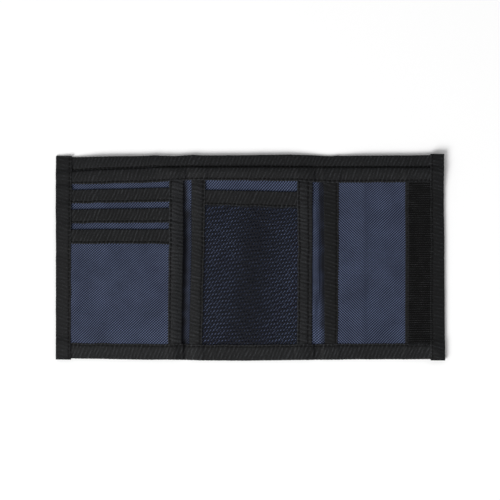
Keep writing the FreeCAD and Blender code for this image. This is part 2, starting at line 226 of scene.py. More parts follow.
def bill_gap(x, y, edge):
    """How far the lining stands off the shell, most at the mouth in mid-panel."""
    past_cards = past(x, -60, 6)
    belly = past_cards * (BELLY + MID_BELLY * arch(x, LEFT_FOLD - 12, RIGHT_FOLD + 6))
    belly = belly * (1 - 0.6 * past(x, RIGHT_FOLD, 30))
    gape = belly * pressed(x) * smooth((y - 20) / (LINING_NORTH - 20))
    slack = 0.1 + 0.09 * ripple(x, y, 34, 11) + 0.05 * ripple(x, y, 13, 12)
    over_mouth = MOUTH_GAP * pressed(x) * past(y, 50, 4) * past(x, -62, 6)
    return gape + slack * smooth(edge / 14) + over_mouth


def panel_thinning(x, y, z, on_left, on_centre):
    """How much thinner the sewn stacks are along the panels' free edges and both top edges."""
    free = on_left * bump(x, CARD_EAST, SIDE_WIDTH) + on_centre * (
        bump(x, CENTRE_WEST, SIDE_WIDTH) + 0.6 * bump(x, CENTRE_EAST, SIDE_WIDTH)
    )
    brow = bump(y, LINING_NORTH, BROW_WIDTH) * (y < MOUTH_SOUTH)
    mouth = bump(y, NORTH, BROW_WIDTH) * (y > LINING_NORTH)
    thinner = SIDE_PINCH * free * np.maximum(z - LINING_TOP, 0)
    thinner = thinner + BROW_PINCH * brow * np.maximum(z - LINING_LOW, 0)
    return thinner + MOUTH_PINCH * mouth * z


def wander(x, y, layer):
    """How far a point lies sideways and upwards from its place in a neat pattern."""
    sideways = from_table(x, y, SIDEWAYS_X, SIDEWAYS_Y, SIDEWAYS)
    sideways = sideways + 0.08 * ripple(y, 0 * y, 60, 17) + 0.04 * ripple(y, 0 * y, 19, 18)
    upright = from_table(x, y, UPRIGHT_X, UPRIGHT_Y, UPRIGHT)
    upright = upright + 0.05 * ripple(x, 0 * x, 50, 19) + 0.05 * ripple(x, 0 * x, 21, 20)
    kinks = sum(height * bump(x, place, width) for place, height, width in MOUTH_KINKS)
    upright = upright + kinks * past(y, 50, 12)
    if layer == "shell":
        # The shell and its tape lie a little lower near the mouth, so the tape covers the gap
        # above the lining's edge and no blue cloth shows there.
        upright = upright - (0.4 + 0.3 * past(x, -62, 6)) * bump(y, MOUTH_SOUTH, 4)
    return sideways, upright


def settle(x, y, z, layer="inside"):
    """Where a point of the neat stack comes to lie.

    layer is "ends" for the two end tapes, "shell" for what belongs to the outer shell alone,
    and "inside" for the rest.
    """
    on_left, on_right = x < LEFT_FOLD, x > RIGHT_FOLD
    on_centre = np.abs(x - SPLIT) < SPLIT - LEFT_FOLD
    edge = np.maximum(np.minimum(np.minimum(x - WEST, EAST - x), y - SOUTH), 0)
    rise = z * (SQUEEZE - EDGE_PINCH * bump(edge, 0, EDGE_WIDTH))
    rise = rise + corner_lap(x, y) * (above(z, TAPE, 2 * TAPE) if layer == "ends" else 1)
    rise = rise + curl(x, y) - panel_thinning(x, y, z, on_left, on_centre)
    if layer != "shell":
        rise = rise + above(z, SHELL_TOP, LINING_LOW - TAPE) * bill_gap(x, y, edge)

    # The three slip pockets gape a little along their free edges.
    lips = CARD_LIP * bump(x, CARD_EAST - 3, LIP_WIDTH) * on_left
    lips = lips + CENTRE_LIP * bump(x, CENTRE_WEST, LIP_WIDTH) * on_centre
    lips = lips + POCKET_LIP * bump(x, POCKET_WEST, LIP_WIDTH) * on_right
    lips = lips * arch(y, INNER_SOUTH, INNER_NORTH) * (0.85 + 0.3 * ripple(x, y, 40, 13))
    rise = rise + above(z, LINING_TOP, PANEL_LOW - TAPE) * lips

    # The mesh pocket and the card slots lie loose on their panels.
    inside = arch(y, INNER_SOUTH - 2, 50)
    mesh = 0.14 + 0.1 * ripple(x, y, 22, 14) + 0.05 * ripple(x, y, 9, 15)
    mesh = mesh * arch(x, MESH_WEST - 2, MESH_EAST + 2) * on_centre
    cards = 0.16 + 0.13 * ripple(x, y, 30, 16)
    cards = cards * arch(x, INNER_WEST - 2, CARD_INNER + 4) * on_left
    rise = rise + above(z, PANEL_TOP, MESH_LOW - TAPE) * inside * (mesh + cards)

    sideways, upright = wander(x, y, layer)
    return x + sideways, y + upright, rise


# ---------------------------------------------------------------- meshes


def make_object(name, vertices, quads, uv, ridge=None, layer="inside"):
    """A settled mesh object. vertices and uv are in mm, and uv is laid out flat on the cloth."""
    a, b, c, d = (vertices[quads[:, k]] for k in range(4))
    volume = np.einsum("ij,ij->", a, np.cross(b, c)) + np.einsum("ij,ij->", a, np.cross(c, d))
    if volume < 0:
        quads = quads[:, ::-1]
    place = settle(vertices[:, 0], vertices[:, 1], vertices[:, 2], layer)
    mesh = bpy.data.meshes.new(name)
    mesh.vertices.add(len(vertices))
    mesh.vertices.foreach_set("co", (np.stack(place, axis=1) * MM).ravel())
    mesh.loops.add(quads.size)
    mesh.loops.foreach_set("vertex_index", quads.ravel())
    mesh.polygons.add(len(quads))
    mesh.polygons.foreach_set("loop_start", np.arange(0, quads.size, 4))
    mesh.update(calc_edges=True)
    cloth = mesh.uv_layers.new(name="cloth")
    cloth.data.foreach_set("uv", (uv[quads.ravel()] * MM).ravel())
    if ridge is not None:
        mesh.attributes.new("ridge", "FLOAT", "POINT").data.foreach_set("value", ridge.ravel())
    mesh.shade_smooth()
    made = bpy.data.objects.new(name, mesh)
    bpy.context.scene.collection.objects.link(made)
    return made


def ring_quads(stations, places, copies=1):
    """Quads between neighbouring rings, and a ladder of quads that closes each end."""
    s, i = (k.ravel() for k in np.meshgrid(range(stations - 1), range(places), indexing="ij"))
    j = (i + 1) % places
    sides = [s * places + i, (s + 1) * places + i, (s + 1) * places + j, s * places + j]
    a = np.arange(places // 2 - 1)
    first = np.stack([a, a + 1, places - 2 - a, places - 1 - a], axis=1)
    last = first[:, ::-1] + (stations - 1) * places
    one = np.concatenate([np.stack(sides, axis=1), first, last])
    steps = np.arange(copies)[:, None, None] * stations * places
    return (one[None] + steps).reshape(-1, 4)


def thick_band(name, middle, normal, half, uv, outer=0.0, ridge=None, layer="inside"):
    """A closed skin on both sides of a curved middle surface.

    middle and normal are arrays [station, place, xyz], half is half the thickness at each
    place, and outer is the extra height of the face on the normal's side.
    """
    shape = middle.shape[:2]
    over = middle + normal * (half + outer + np.zeros(shape))[..., None]
    under = middle - normal * (half + np.zeros(shape))[..., None]
    rings = np.concatenate([over, under[:, ::-1]], axis=1)
    flat = np.concatenate([uv, uv[:, ::-1]], axis=1)
    if ridge is not None:
        ridge = np.concatenate([ridge, ridge[:, ::-1]], axis=1)
    quads = ring_quads(*rings.shape[:2])
    return make_object(name, rings.reshape(-1, 3), quads, flat.reshape(-1, 2), ridge, layer)


def spaced(start, end, step, fine=()):
    """Places from start to end about step apart, closer together within each fine stretch."""
    places = list(np.linspace(start, end, max(2, int(round(abs(end - start) / step)) + 1)))
    for first, last, close in fine:
        first, last = max(first, start), min(last, end)
        if last > first:
            places = [p for p in places if not first <= p <= last or p in (start, end)]
            places += list(np.linspace(first, last, int((last - first) / close) + 2))
    return np.unique(np.round(places, 4))


FOLD_STRETCHES = [(end - 1, start + 1, FINE_STEP) for _, _, start, end in BENDS.values()]
EDGE_ROUNDING = ((0.0, 0.3), (0.12, 0.75), (0.35, 1.0))
WEAVE_U, WEAVE_V, WEAVE_CROSS = 1.76, 1.64, 0.4
WEAVE_HEIGHT = 0.05


def with_rounded_ends(places):
    """The places of a path, with closer ones at both ends, and each place's share of thickness."""
    near = [places[0] + d for d, _ in EDGE_ROUNDING]
    far = [places[-1] - d for d, _ in EDGE_ROUNDING[::-1]]
    inner = [p for p in places if near[-1] + 0.1 < p < far[0] - 0.1]
    share = [s for _, s in EDGE_ROUNDING]
    return np.array(near + inner + far), np.array(share + [1.0] * len(inner) + share[::-1])


def drifted(x, y):
    """Where the weave lies on the cloth, as it is never quite square."""
    u = x + 0.25 * ripple(x, y, 45, 21) + 0.07 * ripple(x, y, 12, 22)
    v = y + 0.25 * ripple(x, y, 45, 23) + 0.07 * ripple(x, y, 12, 24)
    return np.stack([u, v], axis=2)


def cloth_sheet(
    name, xs, ys, bottom, top, relief=None, weave=False, layer="inside", tone=None
):
    """A flat sheet of cloth between two levels.

    relief moves it up or down. tone(x, y) is what its material reads as the attribute ridge. On
    a woven sheet it is how far the twill has turned from one diagonal to the other. On the lining
    it is painted light and shade.
    """
    ys, share = with_rounded_ends(ys)
    x, y = np.meshgrid(xs, ys, indexing="ij")
    z = np.full_like(x, (bottom + top) / 2)
    if relief is not None:
        z = z + relief(x, y)
    normal = np.zeros((*x.shape, 3))
    normal[..., 2] = 1
    uv = drifted(x, y)
    ridge = None if tone is None else tone(x, y)
    outer = 0.0
    if weave:
        a, b = uv[..., 0] / WEAVE_U, uv[..., 1] / WEAVE_V
        lead = 1.0 if tone is None else ridge
        rising = (lead + WEAVE_CROSS * (1 - lead)) * np.sin(TURN * (a - b))
        falling = (1 - lead + WEAVE_CROSS * lead) * np.sin(TURN * (a + b))
        outer = WEAVE_HEIGHT * (rising + falling - 1)
    half = share * (top - bottom) / 2
    middle = np.stack([x, y, z], axis=2)
    return thick_band(name, middle, normal, half, uv, outer, ridge, layer)


# ---------------------------------------------------------------- binding tapes

RIB_PITCH, RIB_HEIGHT = 2.45, 0.13
SEAM_INSET = 1.3
DIMPLE, DIMPLE_WIDTH = 0.24, 0.5
STITCH_PITCH, STITCH_LENGTH, THREAD_RADIUS = 2.95, 2.3, 0.25
FIRST_NEEDLE = 1.0
NEAR_SEAM = (-0.55, -0.28, 0, 0.28, 0.55)
BEND_RADIUS = 0.9
TAPE_STEP = 0.34
LONG, WIDE = 200, 1.2


def steady(value):
    """A width or level that is the same all along."""
    return lambda u: value + 0 * u


def uneven(width, seed):
    """A width that wavers as a sewn edge does."""
    return lambda u: width + 0.16 * ripple(u, 0 * u, 17, seed) + 0.06 * ripple(u, 0 * u, 5, seed)


def draped(base, layers, reach=WIDE):
    """The level of a tape that lies over layers, each (start, end, top), with soft steps."""
    step = 0.1
    places = np.arange(-LONG, LONG, step)
    level = np.full(len(places), float(base))
    for start, end, top in layers:
        over = (places > start - reach) & (places < end + reach)
        level[over] = np.maximum(level[over], top)
    window = np.hanning(int(2 * reach / step) + 1)
    level = np.convolve(level, window / window.sum(), mode="same")
    return lambda u: np.interp(u, places, level)


def ribs(u, v, seed, lean):
    """Height of the tape's slanted ribs, from -1 to 1, as uneven as woven ones."""
    drift = 0.4 * ripple(u, v, 17, seed) + 0.12 * ripple(u, v, 4, seed + 1)
    strength = np.clip(0.6 + 0.6 * ripple(u, v, 5, seed + 2), 0.15, 1.1)
    wave = np.sin(TURN * (u - lean * v + drift) / RIB_PITCH)
    return strength * (wave + 0.35 * wave * np.abs(wave) - 0.15)


def stitched(u):
    """1 under a stitch and 0 where the thread goes down between two."""
    turns = (u - u[0] - FIRST_NEEDLE) / STITCH_PITCH
    return smooth((np.abs(turns - np.round(turns)) * STITCH_PITCH - 0.2) / 0.35)


def direction(web):
    """The axis across a tape whose fold is on the side web, and the way that it points inwards."""
    return (0 if web in ("west", "east") else 1), (1 if web in ("west", "south") else -1)


def tape_section(reach, usual, back, z_top, z_low, seams):
    """The middle of a folded tape's thickness, across it.

    It runs from the upper layer's inner edge to the bend, round it, and along the back layer.
    Returns arrays [station, place] of the distance from the tape's folded edge, the level and
    the normal's two parts, and which places are not in the bend.
    """
    radius = np.minimum(BEND_RADIUS, (z_top - z_low) * 0.48)
    front_end = TAPE / 2 + radius
    straight = usual - BEND_RADIUS - TAPE / 2
    offsets = [0, 0.2, 0.45, *np.linspace(2.2, straight, 8)]
    offsets += [seam + near for seam in seams for near in NEAR_SEAM]
    share = np.unique(np.round(offsets, 3)) / straight
    w_front = reach + (front_end - reach) * share
    angle = np.linspace(math.pi / 2, math.pi * 3 / 2, 11)[1:-1]
    w_bend = front_end + radius * np.cos(angle)
    upright = np.sign(np.round(np.sin(angle), 6)) * ((z_top - z_low) / 2 - radius)
    z_bend = (z_top + z_low) / 2 + np.sin(angle) * radius + upright
    w_back = front_end + (back - front_end) * np.linspace(0, 1, 9)
    w = np.concatenate([w_front, w_bend, w_back], axis=1)
    z = np.concatenate([z_top + 0 * w_front, z_bend, z_low + 0 * w_back], axis=1)
    n_w = np.concatenate([0 * w_front, np.cos(angle) + 0 * w_bend, 0 * w_back], axis=1)
    n_z = np.concatenate([1 + 0 * w_front, np.sin(angle) + 0 * w_bend, 0 * w_back - 1], axis=1)
    place = np.arange(w.shape[1])
    flat = (place < len(share)) | (place >= len(share) + len(angle))
    return w, z, n_w, n_z, flat


def bound_tape(
    name, web, edge, width, us, stack, bottom, seed, back, seams=1, layer="inside", tone=0.0,
    ribbed=1.0, lean=0.45,
):
    """A ribbed tape folded round a cut edge.

    web is the side where its fold is, and edge that side's place. width(u) is how far the tape
    reaches from it, stack(u) the level that its upper layer lies on and bottom the underside of
    its lower layer, which is back wide. It has one or two seams. tone is painted light and shade
    that make the whole tape lighter or darker, and ribbed and lean say how clear its ribs are and
    how far they slant.
    """
    axis, way = direction(web)
    seams = seam_places(width, us) if seams == 2 else [SEAM_INSET]
    u, usual = us[:, None], float(width(us).mean())
    reach = width(u)
    w, z, n_w, n_z, flat = tape_section(
        reach, usual, back, stack(u) + TAPE / 2, bottom + TAPE / 2, seams
    )
    u = u + 0 * w
    steps = np.hypot(np.diff(w, axis=1), np.diff(z, axis=1))
    along = np.concatenate([0 * u[:, :1], np.cumsum(steps, axis=1)], axis=1)
    v = along * (1 if web in ("west", "north") else -1)

    # The ridge attribute paints the ribs' tops lighter and their hollows darker: painted highlights
    # and shade on the ribs.
    ridge = ribbed * ribs(u, v, seed, lean)
    selvage = smooth(along / 1.1) * smooth((along[:, -1:] - along) / 1.1)
    outer = RIB_HEIGHT / 2 * (ridge - 1) * (0.35 + 0.65 * selvage)
    outer = outer + 0.03 * (ripple(u, v, 7, seed + 3) - 1)
    # Under each stitch the tape is painted darker: painted shade in the stitch groove.
    for seam in seams:
        row = flat * bump(reach - seam - w, 0, DIMPLE_WIDTH) * (0.2 + 0.8 * stitched(u))
        outer = outer - DIMPLE * row
        ridge = ridge - 1.3 * row
    # tone paints the whole tape lighter or darker, as painted light and shade for how light falls
    # on it, and its first mm from the inner edge is painted lighter: a painted highlight on that
    # rolled edge.
    ridge = ridge + tone + 0.5 * smooth((0.95 - along) / 0.5)

    middle, normal = np.zeros((*w.shape, 3)), np.zeros((*w.shape, 3))
    middle[..., axis], middle[..., 1 - axis], middle[..., 2] = edge + way * w, u, z
    normal[..., axis], normal[..., 2] = way * n_w, n_z
    half = np.full(w.shape[1], TAPE / 2)
    half[[0, -1]] *= 0.35
    half[[1, -2]] *= 0.85
    uv = np.stack([u, v], axis=2)
    return thick_band(name, middle, normal, half, uv, outer, ridge, layer)


def seam_places(width, us):
    """Two rows, one near each edge of a tape."""
    return [SEAM_INSET, float(width(us).mean()) - 2 * SEAM_INSET]


def stitch_row(name, axis, us, across, faces, layer="inside"):
    """Stitches in a row along X or Y: short threads that dive into the cloth at both ends.

    across(u) is the row's place, and each of faces is (level(u), 1 if it looks up or -1).
    """
    count = int((us[-1] - us[0] - FIRST_NEEDLE) / STITCH_PITCH)
    middles = us[0] + FIRST_NEEDLE + STITCH_PITCH * (np.arange(count) + 0.5)
    t = np.linspace(-1, 1, 9)
    turn = np.arange(6) * TURN / 6
    along = (middles[:, None] + t * STITCH_LENGTH / 2)[..., None] + 0 * turn
    thick = THREAD_RADIUS * (1 - 0.45 * np.abs(t) ** 6)[:, None]
    dive = THREAD_RADIUS * (0.35 - 2.2 * np.abs(t) ** 5)[:, None]
    parts = []
    for level, way in faces:
        points = np.zeros((*along.shape, 3))
        points[..., axis] = along
        points[..., 1 - axis] = across(along) + 0.12 * t[:, None] + thick * np.cos(turn)
        points[..., 2] = level(along) + way * dive + 0.8 * thick * np.sin(turn)
        parts.append(points.reshape(-1, 3))
    uv = np.stack([along, turn * THREAD_RADIUS + 0 * along], axis=3).reshape(-1, 2)
    quads = ring_quads(len(t), len(turn), copies=count * len(faces))
    uv = np.concatenate([uv] * len(faces))
    return make_object(name, np.concatenate(parts), quads, uv, layer=layer)


def seam_levels(stack, back=False):
    """Where stitches lie on a tape's upper face, and on its lower one too if back."""
    faces = [(lambda u: stack(u) + TAPE - DIMPLE - 0.04, 1)]
    return faces + [(steady(DIMPLE + 0.1), -1)] if back else faces


# ---------------------------------------------------------------- materials


class Shader:
    """A material's node tree, with short ways to add and join its nodes."""

    def __init__(self, name):
        self.material = bpy.data.materials.new(name)
        self.material.use_nodes = True
        self.tree = self.material.node_tree
        self.surface = self.tree.nodes["Principled BSDF"]
        uv, split = self.add("UVMap"), self.add("SeparateXYZ")
        uv.uv_map = "cloth"
        self.tree.links.new(uv.outputs["UV"], split.inputs[0])
        self.u = self.times(split.outputs[0], 1 / MM)
        self.v = self.times(split.outputs[1], 1 / MM)

    def add(self, kind, **inputs):
        """A new node, with plain values for some of its inputs."""
        node = self.tree.nodes.new(f"ShaderNode{kind}")
        for name, value in inputs.items():
            node.inputs[name].default_value = value
        return node

    def plug(self, value, socket):
        """Join an output to a socket, or set a plain value on it."""
        if isinstance(value, bpy.types.NodeSocket):
            self.tree.links.new(value, socket)
        else:
            socket.default_value = value

    def maths(self, operation, a, b=0.0):
        node = self.add("Math")
        node.operation = operation
        self.plug(a, node.inputs[0])
        self.plug(b, node.inputs[1])
        return node.outputs[0]

    def plus(self, a, b):
        return self.maths("ADD", a, b)

    def times(self, a, b):
        return self.maths("MULTIPLY", a, b)

    def wave(self, phase):
        """sin of a phase given in turns."""
        return self.maths("SINE", self.times(phase, TURN))

    def noise(self, size, detail=2.0, u=None, v=None, roughness=0.5):
        """Noise from 0 to 1 with features of about size mm."""
        place = self.add("CombineXYZ")
        self.plug(self.u if u is None else u, place.inputs[0])
        self.plug(self.v if v is None else v, place.inputs[1])
        node = self.add("TexNoise", Scale=1 / size, Detail=detail, Roughness=roughness)
        self.tree.links.new(place.outputs[0], node.inputs["Vector"])
        return node.outputs["Fac"]

    def fit(self, value, from_low, from_high, to_low, to_high):
        """Map one range onto another, clamped."""
        node = self.add("MapRange")
        self.plug(value, node.inputs["Value"])
        for socket, number in zip(node.inputs[1:5], (from_low, from_high, to_low, to_high)):
            socket.default_value = number
        return node.outputs["Result"]

    def ramp(self, value, *stops):
        """A colour ramp through (place, colour) stops."""
        node = self.add("ValToRGB")
        self.plug(value, node.inputs["Fac"])
        ramp = node.color_ramp
        while len(ramp.elements) < len(stops):
            ramp.elements.new(0.5)
        for element, (place, colour) in zip(ramp.elements, stops):
            element.position = place
            element.color = (*colour, 1)
        return node.outputs["Color"]

    def blend(self, share, a, b, mode="MIX"):
        """Two colours, mixed."""
        node = self.add("Mix")
        node.data_type, node.blend_type = "RGBA", mode
        self.plug(share, node.inputs[0])
        self.plug(a, node.inputs[6])
        self.plug(b, node.inputs[7])
        return node.outputs[2]

    def shaded(self, colour, value, *stops):
        """A colour made darker or lighter by a ramp through (place, tone) stops."""
        tones = [(place, tone if isinstance(tone, tuple) else (tone,) * 3) for place, tone in stops]
        return self.blend(1.0, colour, self.ramp(value, *tones), "MULTIPLY")

    def emboss(self, height, depth, strength=1.0):
        """A bump of depth mm."""
        node = self.add("Bump", Strength=strength, Distance=depth * MM)
        self.plug(height, node.inputs["Height"])
        self.plug(node.outputs["Normal"], self.surface.inputs["Normal"])

    def ridge(self):
        """The mesh's ridge attribute: on tapes the height of their ribs, with painted highlights
        and shade; on the lining painted light and shade; on the pocket panel how far its twill has
        turned.
        """
        node = self.add("Attribute")
        node.attribute_name = "ridge"
        return node.outputs["Fac"]

    def finish(self, colour, roughness, sheen=0.0, specular=0.5, sheen_tint=(1, 1, 1)):
        self.plug(colour, self.surface.inputs["Base Color"])
        self.plug(roughness, self.surface.inputs["Roughness"])
        self.surface.inputs["Sheen Weight"].default_value = sheen
        self.surface.inputs["Sheen Roughness"].default_value = 0.5
        self.surface.inputs["Sheen Tint"].default_value = (*sheen_tint, 1)
        self.surface.inputs["Specular IOR Level"].default_value = specular
        return self.material


def weave_height(s, least, most, chevron=False):
    """Diagonal twill with the small raised dots where its yarns cross, from 0 to 1."""
    a = s.maths("DIVIDE", s.u, WEAVE_U)
    b = s.maths("DIVIDE", s.v, WEAVE_V)
    rising = s.wave(s.maths("SUBTRACT", a, b))
    falling = s.wave(s.plus(a, b))
    cross = s.fit(s.noise(22, 1), 0.35, 0.65, least, most)
    if chevron:
        # The ridge attribute turns the twill from the falling diagonal to the rising one.
        lead = s.ridge()
        follow = s.maths("SUBTRACT", 1.0, lead)
        rising = s.times(rising, s.maths("MAXIMUM", lead, cross))
        falling = s.times(falling, s.maths("MAXIMUM", follow, cross))
        both = s.plus(rising, falling)
    else:
        both = s.plus(rising, s.times(falling, cross))
    return s.fit(both, -1.5, 1.5, 0.0, 1.0)


def navy_cloth(name, dark, mid, light, cross, painted_crease_shade=False, chevron=False):
    """Coated navy twill. cross is how dotted its weave is, least and most."""
    s = Shader(name)
    height = weave_height(s, *cross, chevron)
    yarn = s.noise(0.35, 3, roughness=0.7)
    level = s.plus(height, s.fit(yarn, 0.3, 0.7, -0.16, 0.16))
    colour = s.ramp(level, (0.1, dark), (0.5, mid), (0.92, light))
    # Wide soft patches, lighter and darker: painted sheen and shade for light on the cloth's gentle
    # bulges.
    wide = s.noise(20, 3, roughness=0.6)
    colour = s.shaded(colour, wide, (0.32, (0.74, 0.75, 0.77)), (0.68, (1.18, 1.18, 1.16)))
    # Painted shade deep in the lining's creases and painted light on its crests, from the ridge
    # attribute.
    if painted_crease_shade:
        colour = s.shaded(colour, s.ridge(), (0.0, (0.08, 0.08, 0.1)), (1.0, 1.15))
    roughness = s.fit(level, 0, 1, 0.78, 0.6)
    s.emboss(s.plus(height, s.times(yarn, 0.4)), 0.16, 0.8)
    return s.finish(colour, roughness, sheen=0.01, specular=0.2, sheen_tint=(0.6, 0.7, 1.0))


def tape_cloth(name):
    """Ribbed black binding tape, with painted highlights on its ribs, painted shade in its stitch
    grooves and a painted highlight along the inner edge of its upper layer.
    """
    s = Shader(name)
    ridge = s.ridge()
    yarn = s.noise(0.8, 3, u=s.times(s.u, 1.4), roughness=0.75)
    level = s.plus(s.fit(ridge, -1, 1, 0.22, 0.78), s.fit(yarn, 0.3, 0.7, -0.3, 0.3))
    colour = s.ramp(
        level,
        (0.08, (0.0004, 0.0004, 0.0005)),
        (0.5, (0.0028, 0.0031, 0.0037)),
        (0.95, (0.0226, 0.0240, 0.0264)),
    )
    colour = s.shaded(colour, s.noise(16, 2), (0.3, 0.84), (0.7, 1.16))
    s.emboss(s.plus(s.times(ridge, 0.3), yarn), 0.06, 0.6)
    return s.finish(colour, s.fit(yarn, 0.2, 0.8, 0.8, 0.6), sheen=0.01, specular=0.2)


def plain_yarn(name, dark, light, size, roughness=0.7, specular=0.15, long=1.0):
    """Fine black or navy yarn with an uneven surface. long is how stretched its marks are; where it
    is over 1, its light stretched marks and the patches on them are painted glints and shade.
    """
    s = Shader(name)
    fine = s.noise(size, 3, u=s.maths("DIVIDE", s.u, long), roughness=0.65)
    twist = s.wave(s.maths("DIVIDE", s.plus(s.u, s.times(s.v, 1.3)), 0.45))
    level = s.plus(fine, s.times(twist, 0.12))
    colour = s.ramp(level, (0.25, dark), (0.75, light))
    # Patches of painted glint and shade, as on the hooks' plastic.
    if long > 1:
        colour = s.shaded(colour, s.noise(5, 3), (0.36, 0.34), (0.67, 1.2))
    s.emboss(level, 0.04, 0.6)
    gloss = s.fit(fine, 0.3, 0.7, roughness + 0.08, roughness - 0.08)
    return s.finish(colour, gloss, specular=specular)


NAVY_TONES = (0.0009, 0.0014, 0.0046), (0.0098, 0.0142, 0.0315), (0.085, 0.109, 0.194)
NAVY = navy_cloth("navy_twill", *NAVY_TONES, (0.2, 0.65))
NAVY_CHEVRON = navy_cloth("navy_twill_chevron", *NAVY_TONES, (0.2, 0.6), chevron=True)
# The lining's dark and mid tones are darker than the panels': painted shade for where it lies deep
# between the panels.
LINING = navy_cloth(
    "navy_lining", (0.0006, 0.0009, 0.0024), (0.0075, 0.011, 0.025), (0.090, 0.117, 0.210),
    (0.35, 0.85), painted_crease_shade=True,
)
TAPE_BLACK = tape_cloth("black_binding")
THREAD_BLACK = plain_yarn("black_thread", (0.0003, 0.0003, 0.0004), (0.0012, 0.0012, 0.0014), 0.5)
NET_BLACK = plain_yarn(
    "black_net", (0.0021, 0.0024, 0.0036), (0.0128, 0.0140, 0.0200), 0.6, specular=0.1
)
HOOK_BASE = plain_yarn("hook_base_weave", (0.0008, 0.0008, 0.001), (0.019, 0.0195, 0.0215), 0.9)
# Near black: painted shade on the base among the hooks.
HOOK_FLOOR_SHADE = plain_yarn("hook_floor_shade", (0.0002, 0.0002, 0.0002), (0.0008, 0.0008, 0.0009), 0.5)
# The hooks' lightest stretched marks are painted glints along their rows.
HOOK_BLACK = plain_yarn(
    "hook_plastic", (0.0002, 0.0002, 0.0002), (0.042, 0.043, 0.046), 1.7, 0.45, 0.15, 3.5
)
LOOP_BLACK = plain_yarn("loop_yarn", (0.003, 0.003, 0.0032), (0.012, 0.012, 0.0125), 0.5, 0.8)


# ---------------------------------------------------------------- putting pieces in the frame


def keep(piece, material, nodes, place):
    """Give a piece its material, tie it to a body or, across a fold, bake its place into its mesh,
    and hide the CAD nodes that it stands for.
    """
    piece.data.materials.append(material)
    if place in BENDS:
        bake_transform(piece)
    else:
        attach(piece, place)
    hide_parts(*nodes)
    return piece


def tape_and_thread(stem, place, web, edge, width, us, stack, bottom, seed, nodes=None, **more):
    """A bound tape and the stitches on it. stem is the CAD node's name without _tape."""
    back = more.pop("back", float(width(us).mean()) - 0.4)
    through, layer = more.pop("through", False), more.get("layer", "inside")
    name, half = stem
    tape = bound_tape(
        f"{name}_tape{half}_bound", web, edge, width, us, stack, bottom, seed, back, **more
    )
    nodes = nodes or [""]
    keep(tape, TAPE_BLACK, [f"{name}_tape{side}" for side in nodes], place)
    made = [tape]
    across, way = direction(web)
    insets = seam_places(width, us) if more.get("seams") == 2 else [SEAM_INSET]
    for number, inset in enumerate(insets):
        row = stitch_row(
            f"{name}_thread{half}_row_{number + 1}",
            1 - across,
            us,
            lambda u, inset=inset: edge + way * (width(u) - inset),
            seam_levels(stack, through),
            layer,
        )
        keep(row, THREAD_BLACK, [f"{name}_thread{side}" for side in nodes], place)
        made.append(row)
    return made


HALVES = {"west": (WEST, SPLIT, ("_left", "_centre")), "east": (SPLIT, EAST, ("_right",))}
UNDER_EDGE, UNDER_TAPE = 1.4, 3.0


def bound_span(start, end, step, fine=()):
    """Places from one bound edge to another, starting and ending inside their tapes."""
    return spaced(start + UNDER_EDGE, end - UNDER_EDGE, step, fine)


FOLD_LEVEL = LINING_TOP + 0.15

# What lies under each tape, along it
CARD_LAYERS = [(-LONG, INNER_NORTH, PANEL_TOP)]
for slot in SLOTS:
    tape_south, slot_north = low(f"card_slot_{slot}_tape")[1], high(f"card_slot_{slot}_tape")[1]
    CARD_LAYERS.append((-LONG, slot_north, SLOT_TOP[slot]))
    CARD_LAYERS.append((tape_south, slot_north, SLOT_TOP[slot] + TAPE))
NET_NORTH, NET_TAPE_SOUTH = high("mesh_pocket_tape")[1], low("mesh_pocket_tape")[1]
CENTRE_LAYERS = [(-LONG, NET_NORTH, MESH_TOP), (NET_TAPE_SOUTH, NET_NORTH, MESH_TOP + TAPE)]
SIDE_TAPES = [
    (CARD_INNER, CARD_EAST), (CENTRE_WEST, MESH_WEST),
    (MESH_EAST, CENTRE_EAST), (POCKET_WEST, POCKET_INNER), (HOOK_WEST, LONG),
]
BACKED = [(-LONG, CARD_EAST), (CENTRE_WEST, CENTRE_EAST), (POCKET_WEST, LONG)]


def across_panels(tops):
    """The stack along a long tape: one top for each panel, and more where side tapes end."""
    layers = [(*span, top) for span, top in zip(BACKED, tops)]
    owners = (0, 1, 1, 2, 2)
    layers += [(*span, tops[owner] + TAPE) for span, owner in zip(SIDE_TAPES, owners)]
    return draped(FOLD_LEVEL, layers)


BOTTOM_STACK = across_panels((CARDS_TOP, MESH_TOP, PANEL_TOP))
LINING_STACK = across_panels((PANEL_TOP, PANEL_TOP, PANEL_TOP))
MOUTH_STACK = steady(SHELL_TOP)
LEFT_CARDS = draped(
    SHELL_TOP + TAPE, CARD_LAYERS + [(-LONG, INNER_SOUTH, CARDS_TOP + TAPE)], 4.0
)
LEFT_TOP = draped(SHELL_TOP + TAPE, [(INNER_NORTH - 4, LINING_NORTH - 2, PANEL_TOP + TAPE)], 2.0)


def left_stack(u):
    """What lies under the left edge tape, all along it."""
    return np.maximum(LEFT_CARDS(u), LEFT_TOP(u))


RIGHT_STACK = draped(
    SHELL_TOP + TAPE,
    [
        (-LONG, INNER_NORTH, HOOK_BASE_TOP),
        (-LONG, INNER_SOUTH, HOOK_BASE_TOP + TAPE),
        (INNER_NORTH, LINING_NORTH - 2, HOOK_BASE_TOP + TAPE),
    ],
    2.5,
)
LINING_WIDTH = LINING_NORTH - INNER_NORTH


def shell_lie(x, y):
    """The shell sinks towards the table between its bound edges, and passes over the loop strip."""
    middle = arch(x, WEST, EAST) * arch(y, SOUTH, NORTH)
    west, east = low("loop_strip")[0], high("loop_strip")[0]
    clear = 1 - smooth((x - west + 4) / 3) * smooth((east + 4 - x) / 3)
    return clear * middle * (0.1 * ripple(x, y, 40, 41) + 0.04 * ripple(x, y, 12, 42) - 0.1)


